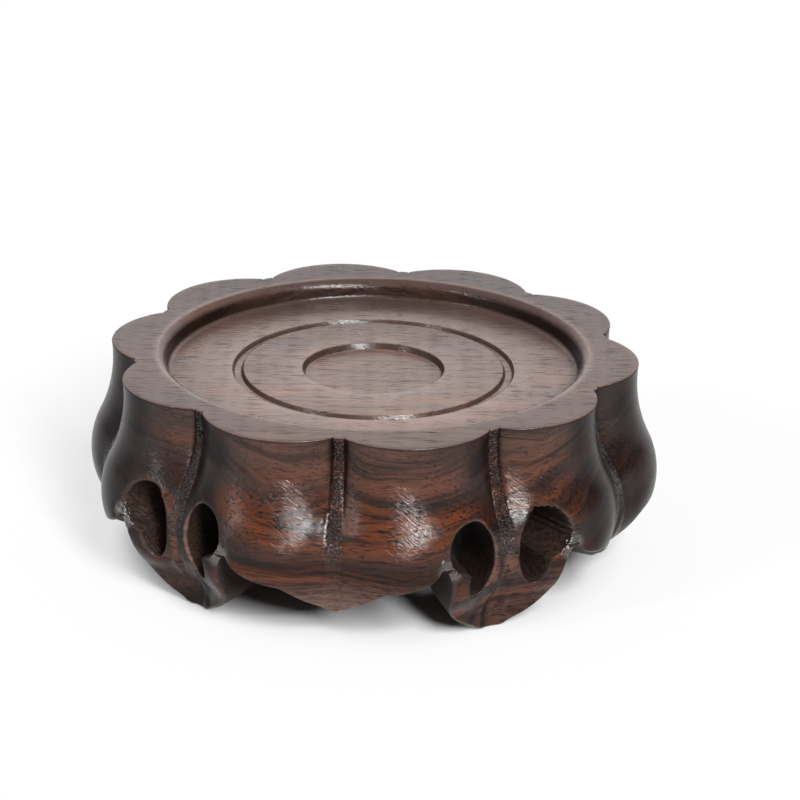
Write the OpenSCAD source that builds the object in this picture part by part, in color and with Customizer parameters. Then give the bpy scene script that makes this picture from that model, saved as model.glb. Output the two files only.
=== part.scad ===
// Chinese hardwood display stand: a dished top with a ten-petal rim, five bulging aprons, five cloud feet.
// Millimetres, +Z up. The origin is on the stand's axis at floor level, and one hanging point faces -Y.

/* [Top board] */

// Height of the stand from the floor to the rim
stand_h = 35.5; // [32:0.5:42]
// Diameter of the dish at the rim
dish_d = 75; // [68:0.5:82]
// Depth of the dish floor below the rim
dish_depth = 3.5; // [2.5:0.1:3.8]
// Radius of the rounded lip of the dish
lip_r = 1; // [0.6:0.1:1.4]
// Radius of the cove between the dish wall and its floor
cove_r = 0.8; // [0.4:0.1:1.1]
// Diameter of the ring groove in the dish floor, at its middle
ring_d = 47.2; // [40:0.2:56]
// Width of the ring groove
ring_w = 2; // [1.2:0.1:3]
// Diameter of the sunk centre of the dish floor
sunk_d = 25; // [16:0.5:34]
// Depth of the sunk centre below the dish floor
sunk_depth = 1.2; // [0.6:0.1:1.8]
// Height of the top board's edge, from the waist joint to the rim
edge_h = 6.5; // [5.8:0.1:8]
// Height of the round boss under the top board, inside the ring of aprons
boss_h = 2.5; // [1:0.1:4]

/* [Petals] */

// Width of the flat rim from the dish to the tip of a petal
rim_w = 8.65; // [7.5:0.05:10]
// Radius of a petal's round at the rim
petal_r = 14.75; // [13.5:0.05:16.5]
// Depth by which the floor of a valley is filled, which leaves a narrow strip there
valley_fill = 0.8; // [0.4:0.05:1.2]
// Distance from the rim down to the narrowest part of the waist
waist_drop = 2.6; // [2:0.1:4]
// How far the waist is drawn in from the rim
waist_in = 0.2; // [0.1:0.05:0.6]
// Height of the fullest part of the belly above the floor
belly_z = 15.4; // [14:0.1:17]
// How far the belly stands out from the rim
belly_out = 4; // [3:0.05:5]
// Radius of the belly's curve, seen from the side
belly_r = 13.9; // [12:0.1:15]
// Steepest slope of the wall below the belly, from the vertical, in degrees
taper = 38; // [30:0.5:42]
// Radius of the hollow curve above the toes, seen from the side
toe_r = 7.6; // [5:0.1:9]
// Thickness of the ring measured inward from the edge of the dish
ring_in = 2.5; // [1.5:0.1:4]

/* [Aprons] */

// Height of the tip of the hanging point above the floor
point_z = 4.75; // [3.5:0.05:6.5]
// Distance from the middle of an apron to the shoulder of its lower edge
brow_x = 9.4; // [8:0.1:11]
// Height of that shoulder above the floor
brow_z = 11.1; // [9.5:0.1:12]
// Height of the end of the lower edge above the floor
edge_z = 15.4; // [14.6:0.1:16.5]
// Width of the end of the lower edge, beside the opening
edge_w = 1.7; // [1:0.1:2.4]

/* [Legs] */

// Width of the post between two aprons
post_w = 5.4; // [4.6:0.1:6.4]
// Distance from the middle of a leg to the nearest side of its openings
stem_x = 2.5; // [2:0.1:3]
// Width of each pierced opening
hole_w = 8.9; // [8:0.1:9.4]
// Height of the top of the openings above the floor
hole_top = 22.1; // [20.5:0.1:23.5]
// Height of the bottom of the openings above the floor
hole_foot = 9; // [8:0.1:10]
// Width of the flat that a foot stands on
sole_w = 3.2; // [2.4:0.1:5]
// Distance from the middle of a leg to the heel of its hooks
heel_x = 9.4; // [8.6:0.1:10]
// Height of the heel of the hooks above the floor
heel_z = 6.3; // [5.4:0.1:7]
// Width of the tip of a hook
tip_w = 1.1; // [0.8:0.1:1.6]
// Clearance between the tip of a hook and the apron above it
tip_gap = 0.4; // [0.3:0.1:0.8]

/* [Joints] */

// Thickness of the tongues on the ends of an apron, along the radius
tongue_t = 2; // [1.4:0.1:2.6]
// Length by which a tongue stands out into the post
tongue_l = 1.2; // [0.8:0.1:1.5]
// Distance from the hollow of the stand to the tongues
tongue_in = 1.6; // [1:0.1:2.4]
// Width of the stub tenon on a leg
tenon_w = 3; // [2:0.1:4]
// Length of the stub tenon along the radius
tenon_l = 3.6; // [2.4:0.1:4.2]
// Distance from the hollow of the stand to the stub tenon
tenon_in = 0.8; // [0.4:0.1:1.2]
// Wood left between the end of a tenon and the dish floor
tenon_roof = 0.8; // [0.5:0.1:1.5]
// Glue clearance round the tenons, the tongues and the boss
fit = 0.1; // [0.05:0.05:0.2]

/* [Hidden] */

$fn = 90;
// Cuts and joins run this far past the faces that they meet.
past = 1;
// Spacing of the points along the wall's side view, for the petals and for the strips between them.
wall_step = 1.8;
strip_step = 2.3;

wood_top = [0.36, 0.27, 0.24];
wood_apron = [0.27, 0.14, 0.10];
wood_leg = [0.23, 0.12, 0.09];

leg_count = 5;
leg_pitch = 360 / leg_count;
petal_pitch = leg_pitch / 2;

dish_r = dish_d / 2;
petal_axis = dish_r + rim_w - petal_r;
belly_reach = dish_r + rim_w + belly_out;
reach = 1.1 * belly_reach;
hollow_r = dish_r - ring_in;
joint_z = stand_h - edge_h;
floor_z = stand_h - dish_depth;
tenon_h = edge_h - dish_depth - tenon_roof;

// The ring groove is a round that stops groove_a short of half a turn, where it meets the flat floor.
groove_a = 12;
groove_r = ring_w / 2 / cos(groove_a);

// Seen from the side the wall is three arcs that run smoothly into each other: the hollow waist down to
// turn_z, the full belly down to taper_z and the hollow above the toe down to toe_z. The toe is upright.
waist_z = stand_h - waist_drop;
rise = belly_out + waist_in;
span = waist_z - belly_z;
both_r = (rise * rise + span * span) / (2 * rise);
waist_r = both_r - belly_r;
turn_z = belly_z + span * belly_r / both_r;
taper_z = belly_z - belly_r * sin(taper);
toe_z = taper_z - toe_r * sin(taper);
toe_out = belly_out - (belly_r + toe_r) * (1 - cos(taper));

// The leg's shoulders lie a little below the tops of the openings.
hole_h = hole_top - hole_foot;
hole_x = stem_x + hole_w / 2;
shoulder_z = hole_top - 0.1 * hole_h;

// The hooks of a leg end at the angle hook_a from its middle. The lower edges of the aprons end at edge_a.
hook_a = asin((stem_x + hole_w + tip_w / 2) / belly_reach);
edge_a = asin((stem_x + hole_w + edge_w) / belly_reach);
edge_x = belly_reach * sin(petal_pitch - edge_a);

// Distance of the wall outside the rim's outline at height z.
function swell(z) =
    z > turn_z ? waist_r - waist_in - sqrt(waist_r * waist_r - (z - waist_z) * (z - waist_z))
    : z > taper_z ? belly_out - belly_r + sqrt(belly_r * belly_r - (z - belly_z) * (z - belly_z))
    : z > toe_z ? toe_out + toe_r - sqrt(toe_r * toe_r - (z - toe_z) * (z - toe_z))
    : toe_out;

// Radius of the floor of a valley at height z.
function valley_r(z) =
    let (out = petal_r + swell(z), side = petal_axis * sin(petal_pitch / 2))
        petal_axis * cos(petal_pitch / 2) + sqrt(out * out - side * side) + valley_fill;

// Points of a cubic curve from a to d with the handles b and c. The last point is left out.
function curve(a, b, c, d, n = 7) = [
    for (i = [0:n - 1])
        let (t = i / n, u = 1 - t)
            u * u * u * a + 3 * u * u * t * b + 3 * u * t * t * c + t * t * t * d
];

// Points of a round from the angle a0 to a1.
function round_pts(x, z, r, a0, a1, n = 6) = [
    for (i = [0:n])
        let (a = a0 + (a1 - a0) * i / n)
            [x + r * cos(a), z + r * sin(a)]
];

// The point that lies the share fx of the way from a to b sideways, and fz of the way in height.
function part_way(a, b, fx, fz) = [a[0] + (b[0] - a[0]) * fx, a[1] + (b[1] - a[1]) * fz];

function mirrored(points) = [for (i = [len(points) - 1:-1:0]) [-points[i][0], points[i][1]]];

// Heights at which the wall's side view is drawn, at most the given step apart.
function steps(z0, z1, step) = let (n = ceil((z1 - z0) / step)) [for (i = [0:n]) z0 + (z1 - z0) * i / n];

// Side view of one petal, from its own axis out to the wall.
function petal_profile(z0, z1) =
    concat([[0, z0]], [for (z = steps(z0, z1, wall_step)) [petal_r + swell(z), z]], [[0, z1]]);

// Side view of a valley floor, from inside the dish's edge.
function valley_profile(z0, z1) =
    concat([[hollow_r - past, z0]],
           [for (z = steps(z0, z1, strip_step)) [valley_r(z), z]],
           [[hollow_r - past, z1]]);

// Outline of the opening on the right of a leg: an egg with an upright inner side. The hook's end, with its
// inner corner at knob, stands into the egg from below on the right.
function hole_outline() =
    let (low = [stem_x, hole_foot],
         high = [stem_x + hole_w, hole_top],
         top = part_way(low, high, 0.46, 1),
         inner = part_way(low, high, 0, 0.48),
         foot = part_way(low, high, 0.36, 0),
         knob = part_way(low, high, 0.57, 0.35),
         outer = part_way(low, high, 1, 0.64))
        concat(curve(top, part_way(low, high, 0.2, 1), part_way(low, high, 0, 0.8), inner),
               curve(inner, part_way(low, high, 0, 0.2), part_way(low, high, 0.2, 0), foot),
               curve(foot, part_way(low, high, 0.5, 0), part_way(low, high, 0.56, 0.14), knob),
               curve(knob, part_way(low, high, 0.74, 0.41), part_way(low, high, 0.98, 0.44), outer),
               curve(outer, part_way(low, high, 1, 0.88), part_way(low, high, 0.76, 1), top));

// Right half of an apron's lower edge, from the end beside the opening to the hanging point.
function apron_edge() =
    let (end = [edge_x, edge_z], brow = [brow_x, brow_z], point = [0, point_z])
        concat(curve(end, part_way(end, brow, 0.08, 0.6), part_way(end, brow, 0.5, 0.82), brow),
               curve(brow, part_way(brow, point, 0.21, 0.06), part_way(brow, point, 0.55, 0.66), point));

// Right half of a leg's outline, from the sole up round the hook to the top of the post.
function leg_outline() =
    let (sole = [sole_w / 2, 0],
         heel = [heel_x, heel_z],
         tip = [stem_x + hole_w - tip_w / 2, edge_z - tip_gap],
         tip_out = tip + [tip_w, -tip_w / 3])
        concat(curve(sole, part_way(sole, heel, 0.26, 0.24), part_way(sole, heel, 0.72, 0.57), heel),
               curve(heel, part_way(heel, tip_out, 0.5, 0.28), part_way(heel, tip_out, 0.3, 0.72), tip_out),
               [tip_out, tip, [hole_x, tip[1]], [hole_x, shoulder_z],
                [post_w / 2, shoulder_z], [post_w / 2, joint_z]]);

// Runs a shape drawn across a radius (x sideways, y up) out from the axis along the radius.
module along_radius() {
    rotate([90, 0, 90])
        linear_extrude(reach)
            children();
}

// The strip along the floor of a valley. Its sides are buried in the petals.
module valley_strip(z0, z1) {
    rotate([90, 0, 0])
        linear_extrude(4 * valley_fill, center = true)
            polygon(valley_profile(z0, z1));
}

// The two petals on either side of a valley, cut off at the next valleys.
module petal_pair(z0, z1) {
    for (side = [0, 1])
        mirror([0, side, 0])
            intersection() {
                union() {
                    rotate(petal_pitch / 2)
                        translate([petal_axis, 0, 0])
                            rotate_extrude()
                                polygon(petal_profile(z0, z1));
                    valley_strip(z0, z1);
                    rotate(petal_pitch)
                        valley_strip(z0, z1);
                }
                translate([0, 0, z0 - past])
                    linear_extrude(z1 - z0 + 2 * past)
                        polygon([[0, 0], [reach, 0], [reach, reach * tan(petal_pitch)]]);
            }
}

// Everything within the angle a of the middle of a leg, up to the height h.
module sector(a, h) {
    translate([0, 0, -past])
        linear_extrude(h + past)
            polygon([[0, 0], [reach, -reach * tan(a)], [reach, reach * tan(a)]]);
}

module hollow() {
    translate([0, 0, -past])
        cylinder(r = hollow_r, h = stand_h + 2 * past);
}

module both_holes() {
    polygon(hole_outline());
    polygon(mirrored(hole_outline()));
}

// Tongues of the two neighbouring aprons, as blocks on both sides of a post.
module tongues(clear) {
    for (side = [0, 1])
        mirror([0, side, 0])
            translate([hollow_r + tongue_in - clear, post_w / 2 - tongue_l - clear, shoulder_z - clear])
                cube([tongue_t + 2 * clear, tongue_l + clear + past, joint_z - shoulder_z + 2 * clear]);
}

// Stub tenon of a leg, or its mortise when the clearance is given.
module tenon(clear) {
    translate([hollow_r + tenon_in - clear, -tenon_w / 2 - clear, joint_z - past])
        cube([tenon_l + 2 * clear, tenon_w + 2 * clear, tenon_h + past + clear]);
}

// Room that a leg takes out of the aprons beside it: post, stem and openings.
module leg_room() {
    difference() {
        along_radius()
            translate([-post_w / 2, shoulder_z - past])
                square([post_w, joint_z - shoulder_z + 2 * past]);
        tongues(0);
    }
    along_radius()
        translate([-hole_x, -past])
            square([2 * hole_x, shoulder_z + past]);
    along_radius()
        both_holes();
    sector(edge_a, edge_z);
}

// Shape of the air above the dish, from the axis out to the lip.
function dish_profile() =
    concat([[0, floor_z - sunk_depth],
            [sunk_d / 2 - sunk_depth / 2, floor_z - sunk_depth],
            [sunk_d / 2, floor_z]],
           round_pts(ring_d / 2, floor_z + groove_r * sin(groove_a), groove_r,
                     180 + groove_a, 360 - groove_a),
           round_pts(dish_r - lip_r - cove_r, floor_z + cove_r, cove_r, 270, 360),
           round_pts(dish_r, stand_h - lip_r, lip_r, 180, 90),
           [[dish_r, stand_h + past], [0, stand_h + past]]);

// Outline of the top board's edge, which stands upright on the waist.
module rim_outline() {
    for (k = [0:2 * leg_count - 1])
        rotate(petal_pitch * (k + 0.5) - 90)
            translate([petal_axis, 0])
                circle(r = petal_r + swell(joint_z));
    circle(r = valley_r(joint_z));
}

module top_board() {
    color(wood_top)
        difference() {
            union() {
                translate([0, 0, joint_z])
                    linear_extrude(edge_h)
                        rim_outline();
                translate([0, 0, joint_z - boss_h])
                    cylinder(r = hollow_r - fit, h = boss_h + past);
            }
            rotate_extrude()
                polygon(dish_profile());
            for (k = [0:leg_count - 1])
                rotate(leg_pitch * (k + 0.5) - 90)
                    tenon(fit);
        }
}

// Apron number k, counted to the right from the front one.
module apron(k) {
    color(wood_apron)
        rotate(leg_pitch * k - 90)
            difference() {
                petal_pair(0, joint_z);
                hollow();
                along_radius()
                    polygon(concat([[reach, -past], [reach, edge_z]],
                                   apron_edge(), [[0, point_z]], mirrored(apron_edge()),
                                   [[-reach, edge_z], [-reach, -past]]));
                for (side = [-1, 1])
                    rotate(side * petal_pitch)
                        leg_room();
            }
}

// Leg number k, counted to the right from the one on the right of the front apron.
module leg(k) {
    color(wood_leg)
        rotate(leg_pitch * (k + 0.5) - 90)
            union() {
                difference() {
                    intersection() {
                        petal_pair(0, joint_z);
                        sector(hook_a, stand_h);
                        along_radius()
                            difference() {
                                polygon(concat(leg_outline(), mirrored(leg_outline())));
                                both_holes();
                            }
                    }
                    hollow();
                    tongues(fit);
                }
                tenon(0);
            }
}

top_board();
apron(0);  // apron_1
apron(1);  // apron_2
apron(2);  // apron_3
apron(3);  // apron_4
apron(4);  // apron_5
leg(0);  // leg_1
leg(1);  // leg_2
leg(2);  // leg_3
leg(3);  // leg_4
leg(4);  // leg_5
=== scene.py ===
# %% [markdown]
# # A carved hardwood stand
#
# The object is a small Chinese display stand of dark rosewood: a dished top with a ten-petal rim, five
# bulging aprons that end in a hanging point, and five cloud feet. The packed CAD model gives the size and
# the joints. This file builds the carved surfaces round it, gives them wood, and sets the camera and light.
# Lengths in the shape cells are millimetres, as on a workshop drawing, and become metres in the mesh.

# %% Load the packed model
import math
from types import SimpleNamespace

import bmesh
import bpy
import numpy as np
from mathutils import Matrix, Vector
from mathutils.geometry import delaunay_2d_cdt


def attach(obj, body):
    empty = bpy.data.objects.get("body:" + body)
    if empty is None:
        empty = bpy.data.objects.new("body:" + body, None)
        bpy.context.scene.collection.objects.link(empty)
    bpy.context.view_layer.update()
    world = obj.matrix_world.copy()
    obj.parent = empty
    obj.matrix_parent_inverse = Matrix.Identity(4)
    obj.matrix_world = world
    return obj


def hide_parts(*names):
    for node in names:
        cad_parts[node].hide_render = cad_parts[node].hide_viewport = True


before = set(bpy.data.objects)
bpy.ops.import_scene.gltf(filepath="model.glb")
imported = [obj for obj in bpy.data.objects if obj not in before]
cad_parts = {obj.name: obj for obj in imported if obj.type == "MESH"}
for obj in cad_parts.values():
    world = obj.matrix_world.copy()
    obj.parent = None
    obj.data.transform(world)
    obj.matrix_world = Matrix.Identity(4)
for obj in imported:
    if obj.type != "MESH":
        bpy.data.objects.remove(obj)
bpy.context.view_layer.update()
MM = 0.001

# %% [markdown]
# ## The wall, seen from the side
#
# From the rim down the wall draws in to a slight waist, swells to a belly and draws in again to the toes.
# It could be a Bezier curve drawn by eye. Three arcs that run into each other are chosen, because a carver
# works to such a pattern and because three radii are easy to change. `swell` says how far the wall stands
# outside the rim's outline at a height.

# %% Side view of the wall
STAND_H = 35.5
WAIST_DROP = 2.6
WAIST_IN = 0.2
BELLY_Z = 15.4
BELLY_OUT = 3.97
BELLY_R = 13.9
TAPER = math.radians(38)
TOE_R = 7.6

WAIST_Z = STAND_H - WAIST_DROP
rise = BELLY_OUT + WAIST_IN
span = WAIST_Z - BELLY_Z
BOTH_R = (rise ** 2 + span ** 2) / (2 * rise)
WAIST_R = BOTH_R - BELLY_R
TURN_Z = BELLY_Z + span * BELLY_R / BOTH_R
TAPER_Z = BELLY_Z - BELLY_R * math.sin(TAPER)
TOE_Z = TAPER_Z - TOE_R * math.sin(TAPER)
TOE_OUT = BELLY_OUT - (BELLY_R + TOE_R) * (1 - math.cos(TAPER))


def arc(radius, offset):
    """How far a round of this radius reaches, at an offset beside its middle."""
    return np.sqrt(np.maximum(radius ** 2 - offset ** 2, 0))


def swell(z):
    """How far the wall stands outside the rim's outline at height z."""
    z = np.asarray(z, float)
    waist = WAIST_R - WAIST_IN - arc(WAIST_R, z - WAIST_Z)
    belly = BELLY_OUT - BELLY_R + arc(BELLY_R, z - BELLY_Z)
    toe = TOE_OUT + TOE_R - arc(TOE_R, z - TOE_Z)
    return np.select([z > TURN_Z, z > TAPER_Z, z > TOE_Z], [waist, belly, toe], TOE_OUT)


print("swell at rim, belly and floor:", swell([STAND_H, BELLY_Z, 0]).round(2))

# %% [markdown]
# ## The wall, seen from above
#
# Ten petals stand round the axis. Each is a round about an axis of its own, and the valley between two of
# them has a narrow strip for a floor, with a knife line on either side where the carver stopped the cut.
# The wall could be sculpted, but a formula for its radius keeps every petal alike. All pieces of the
# object take their outer face from `wall_radius`, so they meet without a step.

# %% Strip in the floor of a valley
DISH_R = 37.5
RIM_W = 8.65
PETAL_R = 14.75
PETAL_AXIS = DISH_R + RIM_W - PETAL_R
PITCH = math.radians(36)
SIDE = PETAL_AXIS * math.sin(PITCH / 2)
AHEAD = PETAL_AXIS * math.cos(PITCH / 2)
VALLEY_FILL = 0.8
FOOT_FILL = 1.0
FOOT_FADE = 13.0


def valley_fill(z):
    """How far the strip stands out of the bare valley at height z. Low down the valley fills up."""
    low = np.clip(1 - z / FOOT_FADE, 0, 1)
    return VALLEY_FILL + FOOT_FILL * low * low * (3 - 2 * low)


def strip_half(z):
    """Half the width of the strip in a valley at height z."""
    out = PETAL_R + swell(z)
    return SIDE - arc(out, arc(out, SIDE) + valley_fill(z))


def strip_reach(z):
    """Distance of the strip's face from the stand's axis at height z."""
    return AHEAD + arc(PETAL_R + swell(z), SIDE) + valley_fill(z)


print("width of a strip at rim and belly:", (2 * strip_half(np.array([STAND_H, BELLY_Z]))).round(2))

# %% Radius of the wall at an angle and a height
KNIFE_W = 0.34
KNIFE_DEEP = 0.34
KNIFE_END = 8.0
KNIFE_FADE = 24.0
STRIP_CROWN = 0.12
FILLET = 1.4


def knife_share(z):
    """How much of its full depth a knife line has at height z. It runs out towards the foot."""
    return np.clip((z - KNIFE_END) / KNIFE_FADE, 0, 1)


def wall_reach(x, z):
    """Distance of the wall ahead of the axis, x millimetres beside the middle of a valley."""
    x = np.abs(x)
    petal = AHEAD + arc(PETAL_R + swell(z), x - SIDE)
    half = strip_half(z)
    strip = strip_reach(z) - STRIP_CROWN * (x / half) ** 2
    knife = KNIFE_DEEP * knife_share(z) * np.clip(1 - np.abs(x - half) / KNIFE_W, 0, 1)
    fillet = FILLET * (1 - knife_share(z)) * np.clip(1 - np.abs(x / half - 1), 0, 1)
    step = strip - petal
    return np.maximum(strip, petal) + (np.hypot(step, fillet) - np.abs(step)) / 2 - knife


def wall_radius(angle, z):
    """Distance of the wall from the axis. The angle is counted from a valley, in radians."""
    turn = np.abs((angle + PITCH / 2) % PITCH - PITCH / 2)
    aside = PITCH / 2 - turn
    petal = PETAL_AXIS * np.cos(aside) + arc(PETAL_R + swell(z), PETAL_AXIS * np.sin(aside))
    x = petal * np.sin(turn)
    near = x < 2 * strip_half(z)
    return np.where(near, np.hypot(x, wall_reach(x, z)), petal)


belly_radii = wall_radius(np.array([0, PITCH / 2]), BELLY_Z)
print("radius of a valley and of a petal at the belly:", belly_radii.round(2))

# %% [markdown]
# ## Outlines on the wall
#
# The openings beside a foot, the hooks of the foot and the apron's lower edge are drawn as the sawyer sees
# them, straight on to the foot or to the hanging point: x to the side, z up. They could be traced as many
# short lines, but Bezier curves fit such outlines with few numbers and stay smooth when one is changed.

# %% Curves of the openings, aprons and feet
POINT = np.array([0, 4.75])
BROW = np.array([9.4, 11.1])
EDGE_END = np.array([17.86, 15.4])
HOLE_LOW = np.array([2.5, 9.0])
HOLE_HIGH = np.array([11.4, 22.1])
SOLE = np.array([1.7, 0.0])
HEEL = np.array([9.7, 6.1])
TIP_GAP = 0.02
TIP_DROP = 0.37
TIP_Z = EDGE_END[1] - TIP_GAP
TIP_OUT = np.array([11.95, TIP_Z - TIP_DROP])


def part_way(a, b, fx, fz):
    """A point a share fx of the way from a to b sideways, and a share fz of it upwards."""
    return np.array([a[0] + (b[0] - a[0]) * fx, a[1] + (b[1] - a[1]) * fz])


def bezier(a, b, c, d, count=40):
    """Points along a curve from a to d, with b and c as its handles."""
    t = np.linspace(0, 1, count + 1)[:, None]
    return (1 - t) ** 3 * a + 3 * (1 - t) ** 2 * t * b + 3 * (1 - t) * t ** 2 * c + t ** 3 * d


def in_hole(fx, fz):
    """A point in the box round an opening, as shares of the box's width and height."""
    return part_way(HOLE_LOW, HOLE_HIGH, fx, fz)


hole_inner_top = bezier(in_hole(0.46, 1), in_hole(0.2, 1), in_hole(0, 0.8), in_hole(0, 0.48))
hole_inner_low = bezier(in_hole(0, 0.48), in_hole(0, 0.2), in_hole(0.2, 0), in_hole(0.36, 0))
hook_inside = bezier(in_hole(0.36, 0), in_hole(0.5, 0), in_hole(0.56, 0.14), in_hole(0.57, 0.35))
hook_top = bezier(in_hole(0.57, 0.35), in_hole(0.74, 0.41), in_hole(0.98, 0.44), in_hole(1, 0.64))
hole_outer_top = bezier(in_hole(1, 0.64), in_hole(1, 0.88), in_hole(0.76, 1), in_hole(0.46, 1))
edge_brow = bezier(EDGE_END, part_way(EDGE_END, BROW, 0.08, 0.6), part_way(EDGE_END, BROW, 0.5, 0.82), BROW)
edge_point = bezier(BROW, part_way(BROW, POINT, 0.21, 0.06), part_way(BROW, POINT, 0.55, 0.66), POINT)
foot_heel = bezier(SOLE, part_way(SOLE, HEEL, 0.32, 0.22), part_way(SOLE, HEEL, 0.82, 0.5), HEEL)
foot_hook = bezier(HEEL, part_way(HEEL, TIP_OUT, 0.5, 0.28), part_way(HEEL, TIP_OUT, 0.3, 0.72), TIP_OUT)
print("an opening is", (HOLE_HIGH - HOLE_LOW).round(2), "mm, and the tip of a hook at z", round(TIP_Z, 2))

# %% Cut a curve at a height
def at_height(points, z):
    """The point where a curve crosses the height z."""
    order = np.argsort(points[:, 1])
    return np.array([np.interp(z, points[order, 1], points[order, 0]), z])


def above(points, z):
    """The part of a curve above z, with the point where it crosses z as one of its ends."""
    kept = points[points[:, 1] > z]
    cross = at_height(points, z)[None]
    rising = points[-1, 1] > points[0, 1]
    return np.concatenate([cross, kept] if rising else [kept, cross])


def below(points, z):
    """The part of a curve below z, with the point where it crosses z as one of its ends."""
    flipped = above(points * [1, -1], -z)
    return flipped * [1, -1]


print("a hook is cut off at", at_height(hook_top, TIP_Z).round(2))

# %% [markdown]
# ## From a straight view to the unrolled wall
#
# An outline drawn straight on has to be laid on the bulging wall. Blender can project a curve on a mesh,
# but here the wall's formula tells for each point how far ahead of the axis it lies, and so its angle round
# the stand, without any mesh. Angle times a mean radius, and height, make a flat chart, like a label peeled
# off a jar, in which distances are close to true.

# %% Chart of the wall
CHART_R = 45.0
EDGE_STEP = 0.26


def to_chart(points, valley=0.0, flip=1.0):
    """Chart points of an outline that was drawn straight on to the valley at that angle."""
    angle = np.arctan2(points[:, 0], wall_reach(points[:, 0], points[:, 1]))
    return np.stack([(valley + flip * angle) * CHART_R, points[:, 1]], axis=1)


def resample(points, step=EDGE_STEP):
    """The same line with evenly spaced points. The last point is left out."""
    along = np.concatenate([[0], np.cumsum(np.linalg.norm(np.diff(points, axis=0), axis=1))])
    count = max(int(along[-1] / step), 1)
    at = np.linspace(0, along[-1], count + 1)[:-1]
    return np.stack([np.interp(at, along, points[:, i]) for i in (0, 1)], axis=1)


def mirror_parts(parts):
    """The left half of an outline from its right half."""
    return [(line[::-1] * [-1, 1], *rest) for line, *rest in reversed(parts)]


def straight(*points):
    """A line from point to point."""
    return np.array(points, float)


print("chart width of one petal in mm:", round(CHART_R * PITCH, 2))

# %% [markdown]
# ## Outline of an apron and of a leg
#
# An outline is a chain of parts. A part is either a free edge, with the radius of its worn arris and the
# depth of gouge marks in the cut, or a seam, where a neighbour carries on and nothing may show. Each half
# outline runs up the right side, and the left half is its mirror image, as a paper pattern is turned over
# for the other side. Both halves could be drawn one by one, but then they would hardly match.

# %% Half outline of an apron
SEAM = (0.0, 0.0)
NO_BITES = 0.0
HOLE_ARRIS = 0.75
EDGE_ARRIS = 0.4
GOUGE = 0.05
JOINT_Z = 29.0
POST_X = 2.7
POST_POINTS = 30
SHOULDER_SHARE = 0.1
SHOULDER_Z = HOLE_HIGH[1] - SHOULDER_SHARE * (HOLE_HIGH[1] - HOLE_LOW[1])

hole_side = above(hook_top, EDGE_END[1])
hole_roof = np.concatenate([hole_side, hole_outer_top[1:], above(hole_inner_top, SHOULDER_Z)[1:]])
roof_chart = to_chart(hole_roof, PITCH, -1)
post_line = straight(*[(POST_X, z) for z in np.linspace(SHOULDER_Z, JOINT_Z, POST_POINTS)])
post_chart = to_chart(post_line, PITCH, -1)
lower_chart = to_chart(np.concatenate([edge_brow, edge_point[1:]])[::-1])

apron_half = [
    (lower_chart, EDGE_ARRIS, NO_BITES),
    (straight(lower_chart[-1], roof_chart[0]), EDGE_ARRIS, NO_BITES),
    (roof_chart, HOLE_ARRIS, GOUGE),
    (straight(roof_chart[-1], post_chart[0]), *SEAM),
    (post_chart, *SEAM),
    (straight(post_chart[-1], (0, JOINT_Z)), *SEAM),
]
print("parts in half an apron:", len(apron_half), "with its shoulder at z", round(SHOULDER_Z, 2))

# %% Half outline of a leg
FOOT_ARRIS = 0.85

tip_in = at_height(hook_top, TIP_Z)
hole_sill = np.concatenate([
    below(hook_top, TIP_Z)[::-1],
    hook_inside[::-1][1:],
    hole_inner_low[::-1][1:],
    below(hole_inner_top, SHOULDER_Z)[::-1][1:],
])

leg_half = [
    (to_chart(straight((0, 0), SOLE)), FOOT_ARRIS, NO_BITES),
    (to_chart(foot_heel), FOOT_ARRIS, NO_BITES),
    (to_chart(foot_hook), FOOT_ARRIS, NO_BITES),
    (to_chart(straight(TIP_OUT, tip_in)), FOOT_ARRIS, NO_BITES),
    (to_chart(hole_sill), HOLE_ARRIS, GOUGE / 2),
    (to_chart(straight(hole_sill[-1], post_line[0])), *SEAM),
    (to_chart(post_line), *SEAM),
    (to_chart(straight(post_line[-1], (0, JOINT_Z))), *SEAM),
]
print("parts in half a leg:", len(leg_half))

# %% [markdown]
# ## A closed outline with its arris
#
# The parts become one loop of evenly spaced points. Every point needs to know which way the wood lies, how
# round its arris is and how deep a gouge has bitten there. A slim place, such as the tip of a hook, can't
# carry a wide arris, so the radius is held to a share of the width that is left there. In a sharp corner
# the inner lines of two arrises would cross and the faces between them would turn over, so both are
# narrowed until they part. A Bevel modifier rounds edges too, but here the radius has to change along the
# outline and to end at the seams.

# %% Room for an arris
NARROWER = 0.85
MOST_ROUNDS = 60
TOUCHING = 1e-12


def room_across(at, apart=8):
    """Distance from each point of a loop to the nearest one that isn't its neighbour along the loop."""
    gap = np.linalg.norm(at[:, None] - at[None], axis=2)
    index = np.arange(len(at))
    steps = np.abs(index[:, None] - index[None])
    steps = np.minimum(steps, len(at) - steps)
    return np.where(steps < apart, np.inf, gap).min(axis=1)


def crossings(loop):
    """Pairs of segments of a closed loop that cut each other."""
    step = np.roll(loop, -1, axis=0) - loop
    to_start = loop[None] - loop[:, None]
    to_end = to_start + step[None]
    side_start = step[:, None, 0] * to_start[..., 1] - step[:, None, 1] * to_start[..., 0]
    side_end = step[:, None, 0] * to_end[..., 1] - step[:, None, 1] * to_end[..., 0]
    parted = side_start * side_end < -TOUCHING
    return np.argwhere(np.triu(parted & parted.T, 2))


def narrowed(edge, inward, arris):
    """The arris made narrower near corners, until its inner line no longer crosses itself."""
    count = len(edge)
    for _ in range(MOST_ROUNDS):
        pairs = crossings(edge + inward * arris[:, None])
        for first, last in pairs:
            if last - first > count / 2:
                first, last = last, first + count
            arris[np.arange(first - 1, last + 3) % count] *= NARROWER
        if len(pairs) == 0:
            break
    return arris


trial_square = straight((0, 0), (1, 1), (1, 0), (0, 1))
print("a square with two corners swapped cuts itself in", len(crossings(trial_square)), "place")

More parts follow.
